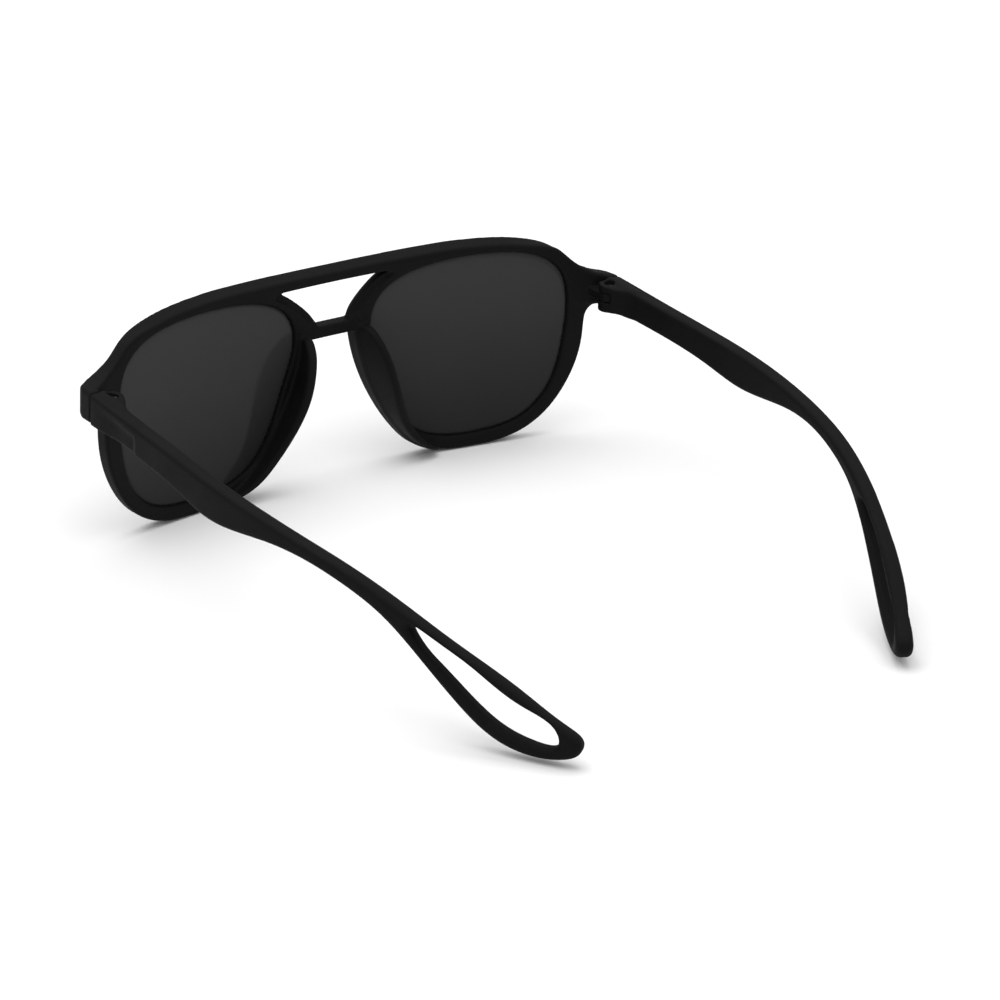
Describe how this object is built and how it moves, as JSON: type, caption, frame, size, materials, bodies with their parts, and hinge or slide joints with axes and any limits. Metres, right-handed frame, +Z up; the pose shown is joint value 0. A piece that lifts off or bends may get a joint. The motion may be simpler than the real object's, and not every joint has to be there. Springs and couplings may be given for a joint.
{
  "type": "aviator sunglasses",
  "caption": "Black moulded aviator sunglasses with an open bridge, smoke lenses and folding temples that end in open ear loops.",
  "frame": {"origin": "middle of the footprint of the open glasses, on the surface that the rims and ear loops stand on", "axes": "+X to the wearer's left, +Y back from the front towards the ears, +Z up"},
  "size_m": [0.1504, 0.1512, 0.0506],
  "materials": {
    "frame_black": "satin moulded",
    "lens_smoke": "gloss, dark neutral tint",
    "screw_steel": "bright"
  },
  "bodies": {
    "front": {"front_frame": "frame_black", "lens_left": "lens_smoke", "lens_right": "lens_smoke"},
    "arm_left": {"temple_left": "frame_black", "hinge_screw_left": "screw_steel"},
    "arm_right": {"temple_right": "frame_black", "hinge_screw_right": "screw_steel"}
  },
  "joints": [
    {"name": "temple_left_fold", "type": "hinge", "parent": "front", "child": "arm_left", "pos_m": [0.0693, -0.05689, 0.03546], "axis": [0, -0.0471, 0.9989], "range_deg": [0, 80]},
    {"name": "temple_right_fold", "type": "hinge", "parent": "front", "child": "arm_right", "pos_m": [-0.0693, -0.05689, 0.03546], "axis": [0, 0.0471, -0.9989], "range_deg": [0, 74]}
  ]
}
